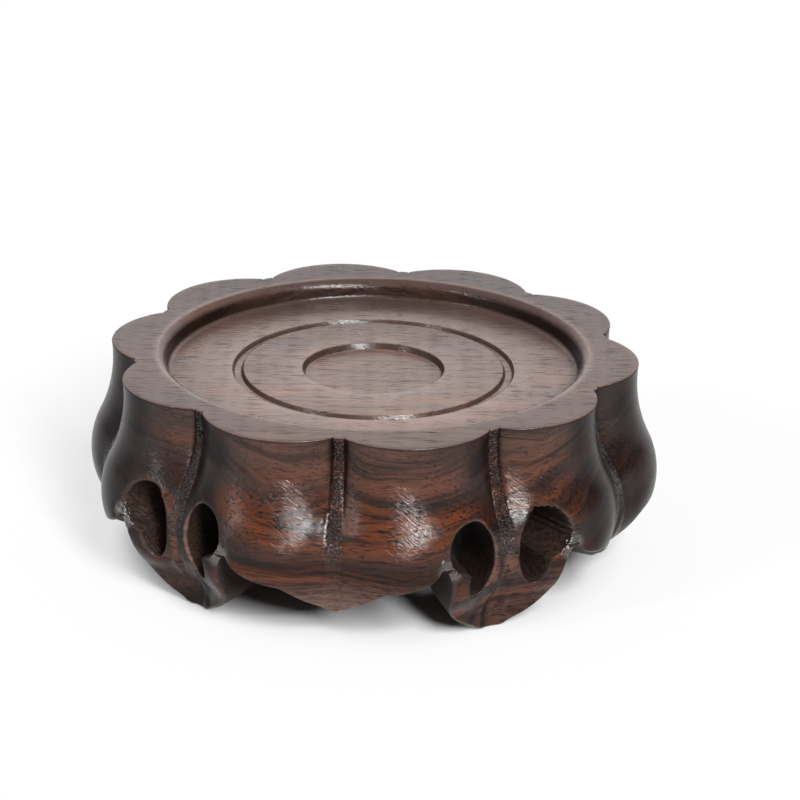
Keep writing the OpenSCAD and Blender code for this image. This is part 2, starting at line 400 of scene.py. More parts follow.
# %% Bites of a gouge
GOUGE_W = 1.05
UNEVEN = 0.35
UNEVEN_OVER = 2.7
LEAST_BITE = 0.3
FADE_BITES = 1.5


def gouge_marks(count, deep, rng):
    """Bites of a gouge along a cut: hollows side by side, with sharp ridges between them."""
    if deep == 0:
        return np.zeros(count)
    index = np.arange(count)
    width = GOUGE_W / EDGE_STEP
    along = index / width + UNEVEN * np.sin(index / (UNEVEN_OVER * width) + rng.uniform(0, 6))
    size = rng.uniform(LEAST_BITE, 1.0, int(along.max()) + 3)
    fade = np.clip(np.minimum(index, count - 1 - index) / (FADE_BITES * width), 0, 1)
    return deep * size[np.floor(along).astype(int) + 1] * np.abs(np.sin(math.pi * along)) * fade


trial_bites = gouge_marks(100, GOUGE, np.random.default_rng(1))
print("deepest of some trial bites in mm:", trial_bites.max().round(3))

# %% Loop of an outline
SLIM_SHARE = 0.34
TINY = 1e-9


def unit(v):
    """Each vector of a list, at length 1."""
    return v / np.maximum(np.linalg.norm(v, axis=1, keepdims=True), TINY)


def smooth(values, reach=3):
    """The mean of each value and its neighbours along a loop."""
    return np.mean([np.roll(values, k) for k in range(-reach, reach + 1)], axis=0)


def loop_of(parts, rng):
    """Points of a closed outline, the way into the wood, the arris and the depth of gouge marks there."""
    lines = [resample(line) for line, *_ in parts]
    at = np.concatenate(lines)
    arris = np.concatenate([np.full(len(line), part[1]) for line, part in zip(lines, parts)])
    gouge = np.concatenate([gouge_marks(len(line), part[2], rng) for line, part in zip(lines, parts)])
    free = arris > 0
    before_free = np.roll(free, 1)
    step_out = np.roll(at, -1, axis=0) - at
    step_in = at - np.roll(at, 1, axis=0)
    tangent = unit(step_out) * free[:, None] + unit(step_in) * before_free[:, None]
    tangent = np.where((free | before_free)[:, None], tangent, step_out)
    inward = unit(np.stack([-tangent[:, 1], tangent[:, 0]], axis=1))
    arris = np.maximum(arris, np.roll(arris, 1))
    arris = np.minimum(arris, SLIM_SHARE * room_across(at))
    arris = np.where(free & before_free, smooth(arris), arris)
    arris = narrowed(at + inward * gouge[:, None], inward, arris)
    return at, inward, arris, gouge


trial = loop_of(apron_half + mirror_parts(apron_half), np.random.default_rng(1))
print("points round an apron:", len(trial[0]))
print("its arris goes from", trial[2].min().round(2), "to", trial[2].max().round(2))

# %% [markdown]
# ## A carved piece
#
# The outer face is the inside of the loop, filled with triangles by a constrained Delaunay triangulation,
# which keeps the outline and the knife lines as edges and accepts loose points between them. A grid of
# quads would be more usual, but it can't follow the openings. From the loop the arris turns over into the
# cut, the cut runs towards the axis, and the hollow inside closes the piece.

# %% Points inside a loop
GRID = 0.62
INNER_GRID = 2.4
KNIFE_STEP = 0.45


def inside(points, loop):
    """For each point, whether it lies inside a closed loop."""
    a, b = loop, np.roll(loop, -1, axis=0)
    px, pz = points[:, :1], points[:, 1:]
    spans = (a[:, 1] > pz) != (b[:, 1] > pz)
    rate = (b[:, 0] - a[:, 0]) / np.where(b[:, 1] == a[:, 1], TINY, b[:, 1] - a[:, 1])
    return (spans & (px < a[:, 0] + (pz - a[:, 1]) * rate)).sum(axis=1) % 2 == 1


def clear_of(points, others, gap):
    """For each point, whether all the others are further away than the gap."""
    return np.linalg.norm(points[:, None] - others[None], axis=2).min(axis=1) > gap


def grid_points(loop, step):
    """A grid of equal triangles over the loop's whole width and height."""
    low, high = loop.min(axis=0), loop.max(axis=0)
    rows = []
    for i, z in enumerate(np.arange(low[1], high[1], step * math.sqrt(0.75))):
        x = np.arange(low[0] + (i % 2) * step / 2, high[0], step)
        rows.append(np.stack([x, np.full_like(x, z)], axis=1))
    return np.concatenate(rows)


def knife_lines(low_z, high_z):
    """Rows of points along the strip in the middle of a piece, on both sides of it."""
    z = np.arange(low_z, high_z, KNIFE_STEP)
    rows = [(strip_half(z) + shift) * side for side in (-1, 1) for shift in (-KNIFE_W, 0, KNIFE_W)]
    rows.append(0 * z)
    return [to_chart(np.stack([x, z], axis=1)) for x in rows]


print("points in a knife line:", len(knife_lines(POINT[1], JOINT_Z)[0]))

# %% Fill a loop with triangles
LINE_CLEAR = 0.8 * EDGE_STEP
GRID_CLEAR = 0.55
INSIDE_ONLY = 1
SAME_POINT = 1e-6


def fill(loop, lines, step):
    """Points and triangles inside a loop, with lines kept as edges, and the new places of its points."""
    points, edges = [loop], []
    start = len(loop)
    for line in lines:
        fits = np.flatnonzero(inside(line, loop) & clear_of(line, loop, LINE_CLEAR))
        points.append(line[fits])
        edges += [(start + i, start + i + 1) for i, gap in enumerate(np.diff(fits)) if gap == 1]
        start += len(fits)
    fixed = np.concatenate(points)
    loose = grid_points(loop, step)
    loose = loose[inside(loose, loop)]
    loose = loose[clear_of(loose, fixed, GRID_CLEAR * step)]
    every = [Vector(p) for p in np.concatenate([fixed, loose])]
    made = delaunay_2d_cdt(every, edges, [list(range(len(loop)))], INSIDE_ONLY, SAME_POINT)
    at = np.array([list(v) for v in made[0]])
    new_place = {source[0]: new for new, source in enumerate(made[3]) if source}
    return at, [list(f) for f in made[2]], [new_place[i] for i in range(len(loop))]


print("triangles in a trial apron:", len(fill(trial[0], [], INNER_GRID)[1]))

# %% A mesh object from points and faces
SHARP = math.radians(48)
WELD = 0.002 * MM


def new_piece(name, points, faces):
    """A piece of the stand, with doubled points welded, faces turned outwards and smooth shading."""
    mesh = bpy.data.meshes.new(name)
    mesh.from_pydata(points.tolist(), [], faces)
    tidy = bmesh.new()
    tidy.from_mesh(mesh)
    bmesh.ops.remove_doubles(tidy, verts=tidy.verts, dist=WELD)
    bmesh.ops.recalc_face_normals(tidy, faces=tidy.faces)
    tidy.to_mesh(mesh)
    tidy.free()
    mesh.shade_smooth()
    mesh.set_sharp_from_angle(angle=SHARP)
    piece = bpy.data.objects.new(name, mesh)
    bpy.context.scene.collection.objects.link(piece)
    print(name, "points", len(mesh.vertices), "faces", len(mesh.polygons))
    return piece


# %% Rows of points from the face to the hollow
HOLLOW_R = 35.0
INNER_ARRIS = 0.3
TURNS = np.radians([0, 22.5, 45, 67.5, 90])
CUT_SHARES = (0.12, 0.3, 0.55, 0.8)


def thickness(chart):
    """Thickness of the wall at points of the chart."""
    return wall_radius(chart[:, 0] / CHART_R, chart[:, 1]) - HOLLOW_R


def rows_of(edge, inward, arris):
    """Copies of an outline with their depths: over the arris, down the cut and round to the hollow."""
    thick = thickness(edge)
    back = np.minimum(arris, INNER_ARRIS)

    def drawn_in(width, t):
        return edge + inward * (width * (1 - np.sin(t)))[:, None]

    over = [(drawn_in(arris, t), arris * (1 - np.cos(t))) for t in TURNS]
    down = [(edge, arris + (thick - arris - back) * share) for share in CUT_SHARES]
    round_back = [(drawn_in(back, t), thick - back * (1 - np.cos(t))) for t in TURNS[::-2]]
    return over + down + round_back


print("rows of points from the face to the hollow:", len(rows_of(*trial[:3])))

# %% Join the rows to a closed piece
def on_wall(chart, depth, turn):
    """Points in metres at a depth behind the wall. The piece is turned about the axis."""
    angle = chart[:, 0] / CHART_R
    radius = wall_radius(angle, chart[:, 1]) - depth
    turned = angle + turn
    return MM * np.stack([radius * np.sin(turned), -radius * np.cos(turned), chart[:, 1]], axis=1)


def carved_piece(name, parts, lines, turn, rng):
    """A closed piece of the wall: its face, the turned-over arris, the cut and the hollow side."""
    at, inward, arris, gouge = loop_of(parts, rng)
    rows = rows_of(at + inward * gouge[:, None], inward, arris)
    outer, outer_faces, outer_loop = fill(rows[0][0], lines, GRID)
    inner, inner_faces, inner_loop = fill(rows[-1][0], [], INNER_GRID)
    sets = [on_wall(outer, 0, turn), on_wall(inner, thickness(inner), turn)]
    loops = [outer_loop]
    start = len(outer) + len(inner)
    for chart, depth in rows[1:-1]:
        sets.append(on_wall(chart, depth, turn))
        loops.append(list(range(start, start + len(chart))))
        start += len(chart)
    loops.append([len(outer) + i for i in inner_loop])
    faces = outer_faces + [[len(outer) + i for i in reversed(f)] for f in inner_faces]
    for first, second in zip(loops, loops[1:]):
        quads = zip(first, second, second[1:] + second[:1], first[1:] + first[:1])
        faces += [list(quad) for quad in quads]
    return new_piece(name, np.concatenate(sets), faces)


print("depth of the cut beside a foot in mm:", thickness(to_chart(foot_heel)).max().round(2))

# %% [markdown]
# ## Five aprons and five legs
#
# An apron covers two petals and the hanging point between them, and a leg is a foot with its stem. One of
# each could be made and copied round the axis, but no gouge bites twice in the same way, so every piece is
# made on its own, with its own seed for the random bites. One opening has kept much deeper bites.

# %% Make the aprons and legs
SIDES = 5
SEED = 20
ROUGH_APRON = 1
ROUGH_GOUGE = 0.46
LEG_LINES_FROM = 0.3

pieces = {}
for k in range(SIDES):
    rng = np.random.default_rng(SEED + k)
    left_half = mirror_parts(apron_half)
    if k == ROUGH_APRON:
        left_half = [(line, arris, ROUGH_GOUGE if gouge else NO_BITES) for line, arris, gouge in left_half]
    apron_turn = 2 * PITCH * k
    leg_turn = apron_turn + PITCH
    pieces[f"apron_{k + 1}"] = carved_piece(
        f"apron_{k + 1}_carved", apron_half + left_half, knife_lines(POINT[1], JOINT_Z), apron_turn, rng)
    pieces[f"leg_{k + 1}"] = carved_piece(
        f"leg_{k + 1}_carved", leg_half + mirror_parts(leg_half), knife_lines(LEG_LINES_FROM, JOINT_Z),
        leg_turn, rng)

# %% [markdown]
# ## The top board
#
# The board is a turned dish inside a carved rim. A lathe would make the rings, so the mesh is built the
# same way: a side view from the middle outwards, spun round the axis. Blender's Screw modifier would spin
# it too, but beyond the dish the rings have to change from circles to the petals' outline. Corners of the
# side view get small rounds, because a sharp edge would show no glint.

# %% Side view of the dish with rounded corners
DISH_DEEP = 3.5
SUNK_R = 12.5
SUNK_DEEP = 1.2
SUNK_FOOT_IN = 0.7
SUNK_EDGE_IN = 0.1
SUNK_ROUND = 0.35
RING_R = 23.6
RING_W = 2.0
RING_FLAT = 0.55
RING_DEEP = 0.85
RING_ROUND = 0.3
RING_EDGE_ROUND = 0.2
LIP_FOOT_IN = 1.7
LIP_FOOT_ROUND = 0.9
LIP_IN = 1.4
LIP_ROUND = 2.0
LIP_END = 1.0

FLOOR_Z = STAND_H - DISH_DEEP
SUNK_Z = FLOOR_Z - SUNK_DEEP
RING_Z = FLOOR_Z - RING_DEEP


def rounded(corners, steps=6):
    """A line through corners (radius, height, round), each replaced by an arc of that round."""
    line = []
    for i, (r, z, bend) in enumerate(corners):
        here = np.array([r, z])
        if bend == 0:
            line.append(here)
            continue
        to_last = np.array(corners[i - 1][:2]) - here
        to_next = np.array(corners[i + 1][:2]) - here
        to_last, to_next = unit(np.array([to_last, to_next]))
        half = math.acos(np.clip(to_last @ to_next, -1, 1)) / 2
        middle = (to_last + to_next) / np.linalg.norm(to_last + to_next)
        centre = here + middle * bend / math.sin(half)
        reach = bend / math.tan(half)
        start = here + to_last * reach - centre
        end = here + to_next * reach - centre
        for s in np.linspace(0, 1, steps + 1):
            ray = start * (1 - s) + end * s
            line.append(centre + ray / np.linalg.norm(ray) * bend)
    return np.array(line)


# A corner with a round of 0 is an end of the line, or only divides a flat stretch.
sunk_side = [(0.0, SUNK_Z, 0), (6.0, SUNK_Z, 0), (SUNK_R - SUNK_FOOT_IN, SUNK_Z, SUNK_ROUND),
             (SUNK_R - SUNK_EDGE_IN, FLOOR_Z, SUNK_ROUND), (17.0, FLOOR_Z, 0)]
ring_side = [(RING_R - RING_W / 2, FLOOR_Z, RING_EDGE_ROUND), (RING_R - RING_FLAT, RING_Z, RING_ROUND),
             (RING_R + RING_FLAT, RING_Z, RING_ROUND), (RING_R + RING_W / 2, FLOOR_Z, RING_EDGE_ROUND)]
lip_side = [(30.0, FLOOR_Z, 0), (DISH_R - LIP_FOOT_IN, FLOOR_Z, LIP_FOOT_ROUND),
            (DISH_R - LIP_IN, STAND_H, LIP_ROUND), (DISH_R + LIP_END, STAND_H, 0)]
dish_side = rounded(sunk_side + ring_side + lip_side)
print("rows in the dish:", len(dish_side))

# %% Rings of the rim and the edge
PETAL_COLUMNS = 20
RIM_ARRIS = 0.22
RIM_TURNS = np.radians([30, 60, 90])
RIM_SHARES = (0.3, 0.6, 0.85, 1)
EDGE_FROM = STAND_H - 0.6
EDGE_ROWS = 16
BOSS_PLAY = 0.1
BOSS_H = 2.5
BOSS_ARRIS = 0.3

BOSS_R = HOLLOW_R - BOSS_PLAY
BOSS_Z = JOINT_Z - BOSS_H


def column_angles(z):
    """Angles of the columns of points at height z, all round. They follow the knife lines."""
    half = strip_half(z)
    x = np.array([0, 0.5 * half, half - KNIFE_W, half, half + KNIFE_W])
    strip = np.arctan2(x, wall_reach(x, z))
    petal = np.linspace(strip[-1], PITCH / 2, PETAL_COLUMNS + 1)[1:]
    right = np.concatenate([strip, petal])
    both = np.concatenate([right, (PITCH - right[1:-1])[::-1]])
    return np.concatenate([both + PITCH * k for k in range(2 * SIDES)])


def ring(radius, z, angles):
    """A closed row of points round the axis, in metres."""
    radius = np.broadcast_to(radius, angles.shape)
    heights = np.full_like(angles, z)
    return MM * np.stack([radius * np.sin(angles), -radius * np.cos(angles), heights], axis=1)


rim_angles = column_angles(STAND_H)
rim_radius = wall_radius(rim_angles, STAND_H)
lip_radius = dish_side[-1, 0]
rim_width = rim_radius - RIM_ARRIS - lip_radius
rings = [ring(r, z, rim_angles) for r, z in dish_side[1:]]
rings += [ring(lip_radius + rim_width * share, STAND_H, rim_angles) for share in RIM_SHARES]
for t in RIM_TURNS:
    out = rim_radius - RIM_ARRIS * (1 - math.sin(t))
    rings.append(ring(out, STAND_H - RIM_ARRIS * (1 - math.cos(t)), rim_angles))
for z in np.linspace(EDGE_FROM, JOINT_Z, EDGE_ROWS):
    edge_angles = column_angles(z)
    rings.append(ring(wall_radius(edge_angles, z), z, edge_angles))
boss_side = [(BOSS_R, JOINT_Z), (BOSS_R, BOSS_Z + BOSS_ARRIS), (BOSS_R - BOSS_ARRIS, BOSS_Z),
             (24.0, BOSS_Z), (12.0, BOSS_Z)]
rings += [ring(r, z, edge_angles) for r, z in boss_side]
print("rings of the board:", len(rings), "with", len(rim_angles), "points each")

# %% Skin of the board
columns = len(rim_angles)
board_points = np.concatenate(rings + [[[0, 0, SUNK_Z * MM], [0, 0, BOSS_Z * MM]]])
top_middle, low_middle = len(board_points) - 2, len(board_points) - 1
last_ring = (len(rings) - 1) * columns
neighbours = [(c, (c + 1) % columns) for c in range(columns)]
board_faces = []
for start in range(0, last_ring, columns):
    board_faces += [[start + c, start + columns + c, start + columns + d, start + d] for c, d in neighbours]
for c, d in neighbours:
    board_faces.append([top_middle, c, d])
    board_faces.append([low_middle, last_ring + d, last_ring + c])
pieces["top_board"] = new_piece("top_board_turned", board_points, board_faces)

# %% [markdown]
# ## Each piece takes the place of its CAD node
#
# The carved pieces are finer than the CAD solids, but lie where those lie. The CAD solids could be shown
# with a better material instead, but they have no arrises and no tool marks. So each CAD node is hidden,
# and the new piece rides on the stand's one body.

# %% Ride and replace
for node, piece in pieces.items():
    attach(piece, "root")
    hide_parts(node)
print("pieces in place:", sorted(pieces))

# %% [markdown]
# ## Beads of varnish
#
# At the tips of the hooks the varnish has run together and dried in lumps, which glint. They could be left
# to bump mapping, but their shadows and their outline would be missing, so the points of the meshes are
# moved: the wood between the lumps is hollowed a little, and nothing grows past the wall.

# %% Hollow the tips of the hooks
GLAZE_AT = np.array([11.3, 15.4])
GLAZE_R = 3.2
BEAD = 0.4


def hump(distance, reach):
    """1 at distance 0, falling to 0 at the given reach."""
    return np.clip(1 - np.abs(distance) / reach, 0, 1)


def glaze_share(angle, radius, z):
    """1 at the tip of a hook and 0 away from it."""
    from_leg = np.abs(angle % (2 * PITCH) - PITCH)
    distance = np.hypot(radius * np.sin(from_leg) - GLAZE_AT[0], z - GLAZE_AT[1])
    return hump(distance, GLAZE_R) * (z < JOINT_Z)


def bead(piece):
    """Hollow the wood between lumps of varnish where a hook meets the apron."""
    points = np.array([v.co for v in piece.data.vertices])
    at = points / MM
    radius = np.hypot(at[:, 0], at[:, 1])
    share = glaze_share(np.arctan2(at[:, 0], -at[:, 1]), radius, at[:, 2])
    # Two waves that cross each other make lumps about a millimetre apart.
    lumps = 0.5 + 0.5 * np.sin(4.1 * at[:, 0] + 2.3 * at[:, 2]) * np.sin(3.7 * at[:, 1] - 4.4 * at[:, 2])
    points[:, :2] *= (1 - BEAD * np.minimum(2 * share, 1) * lumps / radius)[:, None]
    piece.data.vertices.foreach_set("co", points.ravel())
    piece.data.update()
    return int((share > 0).sum())


moved = {node: bead(piece) for node, piece in pieces.items() if node != "top_board"}
print("points moved on each piece:", moved)

# %% [markdown]
# ## Marks of tool and wear, and painted light
#
# Where a hand has rubbed, where the knife ran and where the saw cut, the wood looks different. Some edges
# and tips also get painted highlights, and the walls of the dish's steps a darker colour. These places
# follow from the shape, so they are measured on the finished meshes and kept as attributes of the points,
# which the materials read. Painting them by hand would work too, but the paint would be lost with each
# change of shape.

# %% Marks in the dish
NEAR_FLAT = 0.12
RING_SOIL = 0.84


def on_step(z, deep):
    """1 on the side of a step that goes down from the floor of the dish, 0 at its top and its foot."""
    return np.minimum(2 * hump(z - FLOOR_Z + deep / 2, deep / 2), 1)


def dish_marks(radius, z):
    """Darker wood on the walls of the steps and in the corner of the dish, and painted highlights along its
    edges.
    """
    # A darker colour on the walls of the ring's and the sunk middle's steps, and in the corner under the
    # lip.
    in_ring = (np.abs(radius - RING_R) < 1.1) * on_step(z, RING_SOIL)
    in_sunk = (np.abs(radius - SUNK_R + 0.4) < 0.45) * on_step(z, SUNK_DEEP)
    in_corner = hump(radius - DISH_R + 1.4, 1.4) * np.clip((STAND_H - 0.8 - z) / 1.5, 0, 1)
    at_floor = np.abs(z - FLOOR_Z) < NEAR_FLAT
    at_ring_floor = np.abs(z - RING_Z) < NEAR_FLAT
    # Painted highlights: pale lines along the dish's lip, the edges of the ring, the bottom of the ring and
    # the edge of the sunk middle.
    lip = np.maximum.reduce([
        hump(radius - DISH_R - 0.15, 0.45) * (z > STAND_H - 0.5),
        hump(radius - RING_R - RING_W / 2, 0.3) * at_floor,
        hump(radius - RING_R, 0.4) * at_ring_floor,
        hump(radius - SUNK_R - 0.1, 0.3) * at_floor * 0.7,
    ])
    return {"soil": np.maximum.reduce([0.85 * in_ring, 0.85 * in_sunk, 0.6 * in_corner]), "lip": lip}


print("dirt half way down the ring:", dish_marks(RING_R, FLOOR_Z - RING_SOIL / 2)["soil"].round(2))

# %% Marks on the wall
FACE_DEEP = 0.5
RIM_EDGE = 0.4
STRIP_END = 13
STRIP_FADE = 6
GLAZE_DEEP = 2.4
# A small orange glint painted on each hanging point.
CHIP_AT = POINT + [0.9, 0]
CHIP_R = 1.0
CHIP_DEEP = 1.5
STEM_HALF = 6
STEM_FADE = 2


def wall_marks(angle, radius, z, is_leg):
    """How far each point lies behind the wall, and how much each kind of mark on the wall shows there."""
    turn = np.abs((angle + PITCH / 2) % PITCH - PITCH / 2)
    from_leg = angle % (2 * PITCH) - PITCH
    from_point = (angle + PITCH) % (2 * PITCH) - PITCH
    aside = radius * np.sin(turn)
    half = strip_half(z)
    near_chip = np.hypot(radius * np.sin(from_point) - CHIP_AT[0], z - CHIP_AT[1])
    behind = wall_radius(angle, z) - radius
    on_face = (behind < FACE_DEEP) & (z < STAND_H - RIM_EDGE)
    strip_share = np.clip((z - STRIP_END) / STRIP_FADE, 0, 1)
    from_stem = radius * np.sin(np.abs(from_leg))
    return {
        "behind": np.where(z > JOINT_Z, 0, behind),
        "knife": hump(aside - half, KNIFE_W) * on_face * knife_share(z),
        "strip": np.clip((half - aside) / KNIFE_W, 0, 1) * on_face * strip_share,
        "glaze": glaze_share(angle, radius, z) * hump(behind, GLAZE_DEEP),
        "chip": hump(near_chip, CHIP_R) * (behind < CHIP_DEEP) * (z < JOINT_Z),
        "leg": np.full(len(z), float(is_leg)),
        "stem": np.clip((STEM_HALF - from_stem) / STEM_FADE, 0, 1) * is_leg,
    }


def mark(piece, is_leg):
    """Store all marks as attributes of the piece's points."""
    mesh = piece.data
    at = np.array([v.co for v in mesh.vertices]) / MM
    radius = np.hypot(at[:, 0], at[:, 1])
    marks = wall_marks(np.arctan2(at[:, 0], -at[:, 1]), radius, at[:, 2], is_leg)
    marks.update(dish_marks(radius, at[:, 2]))
    for name, values in marks.items():
        mesh.attributes.new(name, "FLOAT", "POINT").data.foreach_set("value", values.astype(np.float32))


for node, piece in pieces.items():
    mark(piece, node.startswith("leg"))
print("marks on each piece:", [a.name for a in pieces["apron_1"].data.attributes if a.data_type == "FLOAT"])

# %% [markdown]
# ## Shader maths as expressions
#
# A wood is a long sum of noises. Its nodes could be placed and linked one by one, but such sums are easier
# to read as arithmetic. The class below wraps one output of the node tree. Its operators add Math nodes,
# and `node` adds any other kind: its settings first, then its sockets.

# %% A value in a node tree
class Wire:
    """One output of a node tree, or only the tree where no output is needed yet."""

    def __init__(self, tree, socket=None):
        self.tree = tree
        self.socket = socket

    def node(self, kind, settings=None, inputs=None, output=0):
        """A new node of this tree: its settings, then numbers or links for its sockets."""
        made = self.tree.nodes.new(kind)
        for key, value in (settings or {}).items():
            setattr(made, key, value)
        for key, value in (inputs or {}).items():
            if isinstance(value, Wire):
                self.tree.links.new(value.socket, made.inputs[key])
            else:
                made.inputs[key].default_value = value
        return Wire(self.tree, made.outputs[output])

    def math(self, operation, a, b=0.0, clamp=False):
        """A Math node on two values, each a wire or a number."""
        return self.node("ShaderNodeMath", {"operation": operation, "use_clamp": clamp}, {0: a, 1: b})

    def __add__(self, other):
        return self.math("ADD", self, other)

    def __radd__(self, other):
        return self.math("ADD", other, self)

    def __sub__(self, other):
        return self.math("SUBTRACT", self, other)

    def __rsub__(self, other):
        return self.math("SUBTRACT", other, self)

    def __mul__(self, other):
        return self.math("MULTIPLY", self, other)

    def __rmul__(self, other):
        return self.math("MULTIPLY", other, self)

    def clamp(self):
        """This value held between 0 and 1."""
        return self.math("ADD", self, 0.0, clamp=True)

    def most(self, other):
        """The larger of two values."""
        return self.math("MAXIMUM", self, other)

    def between(self, low, high):
        """0 below low and 1 above high, smooth in between. With low above high it falls."""
        ends = {"Value": self, "From Min": low, "From Max": high}
        if low > high:
            ends = {"Value": self, "From Min": high, "From Max": low, "To Min": 1.0, "To Max": 0.0}
        return self.node("ShaderNodeMapRange", {"interpolation_type": "SMOOTHSTEP"}, ends)

    def mix(self, first, second):
        """The first colour where this value is 0 and the second where it is 1."""
        inputs = {0: self, 6: first, 7: second}
        return self.node("ShaderNodeMix", {"data_type": "RGBA"}, inputs, output=2)

    def noise(self, detail, roughness, output=0):
        """Noise over this vector, from 0 to 1."""
        inputs = {"Vector": self, "Scale": 1.0, "Detail": detail, "Roughness": roughness}
        return self.node("ShaderNodeTexNoise", {}, inputs, output)

    def times(self, x, y, z):
        """This vector with each axis multiplied by its own number."""
        return self.node("ShaderNodeVectorMath", {"operation": "MULTIPLY"}, {0: self, 1: (x, y, z)})

    def dot(self, way):
        """How far this vector reaches along a direction."""
        inputs = {0: self, 1: way}
        return self.node("ShaderNodeVectorMath", {"operation": "DOT_PRODUCT"}, inputs, output="Value")

    def length(self):
        """How long this vector is."""
        return self.node("ShaderNodeVectorMath", {"operation": "LENGTH"}, {0: self}, output="Value")

    def turned(self, about, degrees):
        """This vector turned about the Y or the Z axis."""
        inputs = {"Vector": self, "Angle": math.radians(degrees)}
        return self.node("ShaderNodeVectorRotate", {"rotation_type": about + "_AXIS"}, inputs)

    def mark(self, name):
        """An attribute of the mesh's points."""
        return self.node("ShaderNodeAttribute", {"attribute_name": name}, output="Fac")

    def ray(self, name):
        """1 for rays of one kind and 0 for all others."""
        return self.node("ShaderNodeLightPath", output=f"Is {name} Ray")


print("reflected operators of a wire:", [name for name in vars(Wire) if name.startswith("__r")])

# %% [markdown]
# ## Rosewood
#
# The wood is one block's worth of growth layers, so its pattern is a solid one: it is worked out from the
# place in space, and runs on from piece to piece. The grain runs from left to right. Across it, nearly flat
# layers that lean a little alternate between dark brown and orange brown, thin fibres streak them, and
# open pores show as short black dashes. Where a face cuts across the grain, at both ends of the stand, the
# wood looks nearly black. A photograph of a board could be wrapped on instead, but it would stretch on the
# petals. The numbers that `times` gets here are waves per millimetre, along the grain and across it.

# %% Layers and pores
PORE_SHARE = 0.5
PORE_CORE = 0.12


def layers(wood, stretch, spacing, shift, detail, roughness):
    """Noise in sheets: long along the grain and spaced across the growth layers."""
    place = {"X": wood.along * (1 / stretch), "Y": wood.depth * (1 / spacing), "Z": shift}
    return wood.along.node("ShaderNodeCombineXYZ", {}, place).noise(detail, roughness)


def pores_in(place, size):
    """Pores scattered over a place. Only a share of the cells there have one in their middle."""
    inputs = {"Vector": place, "Scale": 1.0}
    distance = place.node("ShaderNodeTexVoronoi", {}, inputs, output="Distance")
    colour = Wire(place.tree, distance.socket.node.outputs["Color"])
    picked = colour.dot((1, 0, 0)).between(1 - PORE_SHARE, 1.02 - PORE_SHARE)
    return distance.between(size, PORE_CORE) * picked


print("share of the places that have a pore:", PORE_SHARE)

# %% Patterns of the wood
GRAIN_TURN = 6.92
LAYER_WAY = (0.0, -0.35, 0.94)
WANDER = (0, 9, 9)


def patterns(wire, has_top):
    """The places in the block of wood, in millimetres, and the patterns that follow from them."""
    wood = SimpleNamespace()
    place = wire.node("ShaderNodeTexCoord", output="Object").turned("Z", -GRAIN_TURN)
    wood.grain = place.times(1 / MM, 1 / MM, 1 / MM)
    wander = wood.grain.times(0.03, 0.05, 0.05).noise(3.0, 0.5, output="Color")
    bend = {0: wander, 1: WANDER, 2: wood.grain}
    wood.bent = wire.node("ShaderNodeVectorMath", {"operation": "MULTIPLY_ADD"}, bend)
    wood.along = wood.bent.dot((1, 0, 0))
    wood.depth = wood.bent.dot(LAYER_WAY)
    wood.upright = wood.grain.dot((0, 0, 1))

    wood.zones = layers(wood, stretch=55.0, spacing=8.0, shift=0.3, detail=3.0, roughness=0.55)
    wood.bands = layers(wood, stretch=34.0, spacing=2.3, shift=4.1, detail=4.0, roughness=0.6)
    wood.lines = layers(wood, stretch=24.0, spacing=0.7, shift=7.7, detail=3.0, roughness=0.6)
    wood.rings = layers(wood, stretch=60.0, spacing=1.4, shift=9.2, detail=4.0, roughness=0.6)
    wood.fibres = wood.bent.times(0.09, 3.0, 3.0).noise(3.0, 0.6)
    wood.dashes = wood.bent.times(0.15, 2.4, 2.4).noise(4.0, 0.6)
    wood.patches = wood.grain.times(0.13, 0.13, 0.13).noise(3.0, 0.6)

    course = wood.grain if has_top else wood.bent
    long_pores = pores_in(course.times(0.16 if has_top else 0.22, 3.6, 3.6), size=0.32)
    small_pores = pores_in(course.times(0.36, 6.0, 6.0), size=0.30)
    wood.pores = long_pores.most(small_pores * 0.7)
    return wood


print("the growth layers look towards", LAYER_WAY)

# %% [markdown]
# ## What the marks and the slope of a face add
#
# A cut face is rough and dark, and inside the openings its dark colour is painted shade too. Its edge is
# rubbed to a polish and gets a painted pale highlight, most on the stem between two openings, and the tips
# of the hooks are glazed. The way a face looks tells whether it is end grain or the top. All of this could
# be painted on, but the marks and the normal give it in a few lines for every piece.

# %% Marks and faces
END_FROM = 0.18
END_FULL = 0.62


def add_marks(wire, wood):
    """Read the marks of the mesh and the way its faces look."""
    behind = wire.mark("behind")
    wood.knife = wire.mark("knife")
    wood.strip = wire.mark("strip")
    wood.glaze = wire.mark("glaze").between(0.1, 0.45)
    wood.stem = wire.mark("stem")
    wood.leg = wire.mark("leg")
    wood.chip = wire.mark("chip")
    wood.soil = wire.mark("soil")
    wood.lip = wire.mark("lip")
    wood.cut = behind.between(0.03, 0.42) * (1 - wood.stem * behind.between(1.0, 0.6))
    at_edge = behind.between(0.02, 0.12) * behind.between(0.9, 0.5)
    # Edges rubbed to a polish, most on the stem between two openings; the colour also paints a pale
    # highlight on them.
    wood.rubbed = at_edge * (0.3 + wood.stem * 0.7) * wood.patches.between(0.35, 0.6)

    normal = wire.node("ShaderNodeNewGeometry", output="Normal").turned("Z", -GRAIN_TURN)
    across = normal.dot((1, 0, 0))
    wood.end = (across * across).between(END_FROM, END_FULL)
    wood.facing_up = normal.dot((0, 0, 1)).between(0.25, 0.8)


end_angle = math.degrees(math.acos(math.sqrt(END_FULL)))
print("a face is full end grain if it looks along the grain within", round(end_angle), "degrees")

